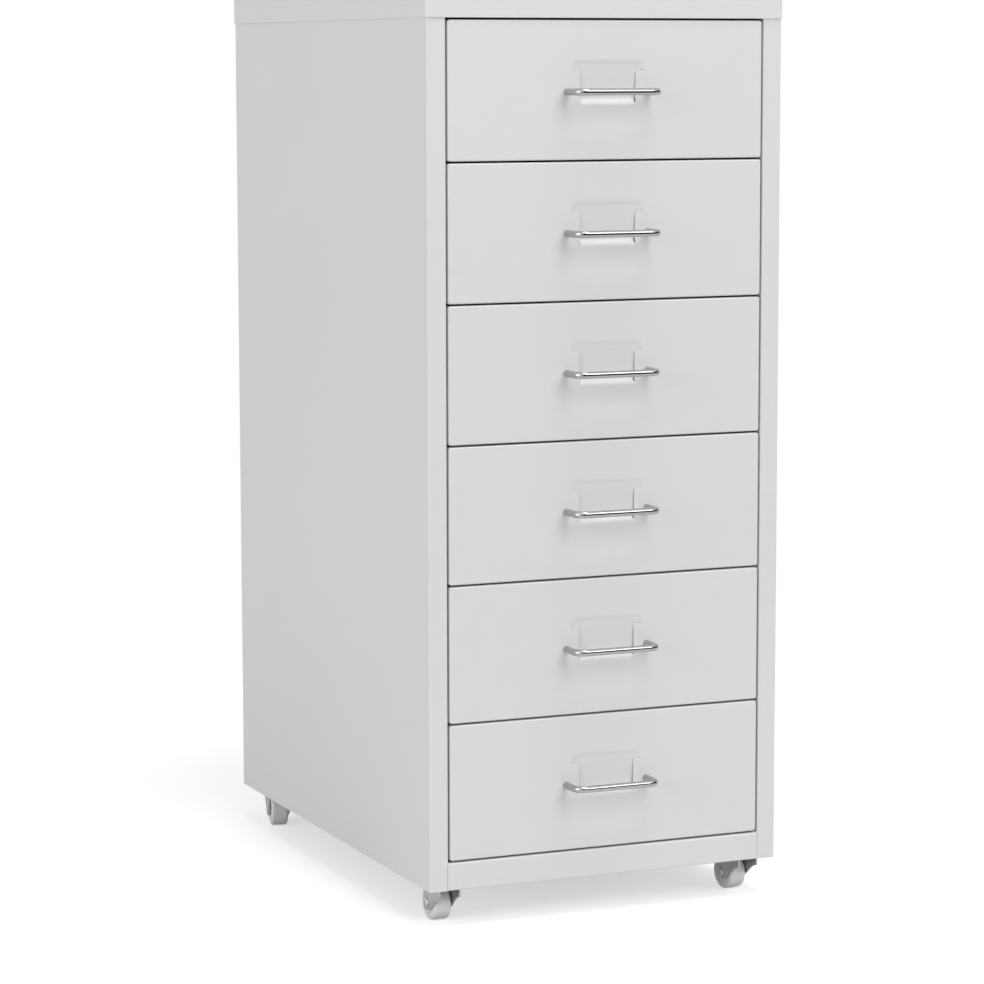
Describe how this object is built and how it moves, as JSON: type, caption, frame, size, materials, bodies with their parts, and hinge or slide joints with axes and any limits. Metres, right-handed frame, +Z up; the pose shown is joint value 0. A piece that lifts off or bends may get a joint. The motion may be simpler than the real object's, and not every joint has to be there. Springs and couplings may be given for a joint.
{
  "type": "mobile drawer cabinet",
  "caption": "Narrow folded-steel drawer cabinet on swivel castors, with sliding drawers, label pockets and wire pulls, for papers, tools and small parts.",
  "frame": {"origin": "on the floor under the middle of the overall box, handles and rear screw heads included", "axes": "+Z up, -Y the drawer side, +X to the right of someone facing the drawers"},
  "size_m": [0.28, 0.4336, 0.69],
  "materials": {
    "paint": "satin powder coat, light grey",
    "chrome": "polished",
    "zinc": "bright zinc",
    "castor_steel": "zinc-plated pressed steel",
    "wheel_nylon": "moulded nylon, pale grey"
  },
  "bodies": {
    "cabinet": {"left_side_panel": "paint", "right_side_panel": "paint", "back_panel": "paint", "base_panel": "paint", "top_cover": "paint", "casing_screws": "zinc", "castor_screws": "zinc", "castor_kingpins": "zinc", "left_runner_1": "paint", "right_runner_1": "paint", "left_runner_2": "paint", "right_runner_2": "paint", "left_runner_3": "paint", "right_runner_3": "paint", "left_runner_4": "paint", "right_runner_4": "paint", "left_runner_5": "paint", "right_runner_5": "paint", "left_runner_6": "paint", "right_runner_6": "paint", "castor_front_left_plate": "castor_steel", "castor_front_right_plate": "castor_steel", "castor_rear_left_plate": "castor_steel", "castor_rear_right_plate": "castor_steel"},
    "drawer_1": {"drawer_1_tray": "paint", "drawer_1_front": "paint", "drawer_1_handle": "chrome", "drawer_1_handle_screws": "zinc"},
    "drawer_2": {"drawer_2_tray": "paint", "drawer_2_front": "paint", "drawer_2_handle": "chrome", "drawer_2_handle_screws": "zinc"},
    "drawer_3": {"drawer_3_tray": "paint", "drawer_3_front": "paint", "drawer_3_handle": "chrome", "drawer_3_handle_screws": "zinc"},
    "drawer_4": {"drawer_4_tray": "paint", "drawer_4_front": "paint", "drawer_4_handle": "chrome", "drawer_4_handle_screws": "zinc"},
    "drawer_5": {"drawer_5_tray": "paint", "drawer_5_front": "paint", "drawer_5_handle": "chrome", "drawer_5_handle_screws": "zinc"},
    "drawer_6": {"drawer_6_tray": "paint", "drawer_6_front": "paint", "drawer_6_handle": "chrome", "drawer_6_handle_screws": "zinc"},
    "castor_front_left": {"castor_front_left_fork": "castor_steel", "castor_front_left_axle": "zinc"},
    "wheel_front_left": {"castor_front_left_wheel": "wheel_nylon"},
    "castor_front_right": {"castor_front_right_fork": "castor_steel", "castor_front_right_axle": "zinc"},
    "wheel_front_right": {"castor_front_right_wheel": "wheel_nylon"},
    "castor_rear_left": {"castor_rear_left_fork": "castor_steel", "castor_rear_left_axle": "zinc"},
    "wheel_rear_left": {"castor_rear_left_wheel": "wheel_nylon"},
    "castor_rear_right": {"castor_rear_right_fork": "castor_steel", "castor_rear_right_axle": "zinc"},
    "wheel_rear_right": {"castor_rear_right_wheel": "wheel_nylon"}
  },
  "joints": [
    {"name": "drawer_1_slide", "type": "slide", "parent": "cabinet", "child": "drawer_1", "axis": [0, -1, 0], "range_m": [0, 0.3]},
    {"name": "drawer_2_slide", "type": "slide", "parent": "cabinet", "child": "drawer_2", "axis": [0, -1, 0], "range_m": [0, 0.3]},
    {"name": "drawer_3_slide", "type": "slide", "parent": "cabinet", "child": "drawer_3", "axis": [0, -1, 0], "range_m": [0, 0.3]},
    {"name": "drawer_4_slide", "type": "slide", "parent": "cabinet", "child": "drawer_4", "axis": [0, -1, 0], "range_m": [0, 0.3]},
    {"name": "drawer_5_slide", "type": "slide", "parent": "cabinet", "child": "drawer_5", "axis": [0, -1, 0], "range_m": [0, 0.3]},
    {"name": "drawer_6_slide", "type": "slide", "parent": "cabinet", "child": "drawer_6", "axis": [0, -1, 0], "range_m": [0, 0.3]},
    {"name": "castor_front_left_swivel", "type": "hinge", "parent": "cabinet", "child": "castor_front_left", "pos_m": [-0.12, -0.16885, 0.0296], "axis": [0, 0, 1], "continuous": true},
    {"name": "castor_front_left_roll", "type": "hinge", "parent": "castor_front_left", "child": "wheel_front_left", "pos_m": [-0.12, -0.15985, 0.0125], "axis": [1, 0, 0], "continuous": true},
    {"name": "castor_front_right_swivel", "type": "hinge", "parent": "cabinet", "child": "castor_front_right", "pos_m": [0.12, -0.16885, 0.0296], "axis": [0, 0, 1], "continuous": true},
    {"name": "castor_front_right_roll", "type": "hinge", "parent": "castor_front_right", "child": "wheel_front_right", "pos_m": [0.11906, -0.1599, 0.0125], "axis": [0.9945, 0.1045, 0], "continuous": true},
    {"name": "castor_rear_left_swivel", "type": "hinge", "parent": "cabinet", "child": "castor_rear_left", "pos_m": [-0.12, 0.18635, 0.0296], "axis": [0, 0, 1], "continuous": true},
    {"name": "castor_rear_left_roll", "type": "hinge", "parent": "castor_rear_left", "child": "wheel_rear_left", "pos_m": [-0.12187, 0.17755, 0.0125], "axis": [-0.9781, 0.2079, 0], "continuous": true},
    {"name": "castor_rear_right_swivel", "type": "hinge", "parent": "cabinet", "child": "castor_rear_right", "pos_m": [0.12, 0.18635, 0.0296], "axis": [0, 0, 1], "continuous": true},
    {"name": "castor_rear_right_roll", "type": "hinge", "parent": "castor_rear_right", "child": "wheel_rear_right", "pos_m": [0.1245, 0.17856, 0.0125], "axis": [-0.866, -0.5, 0], "continuous": true}
  ]
}
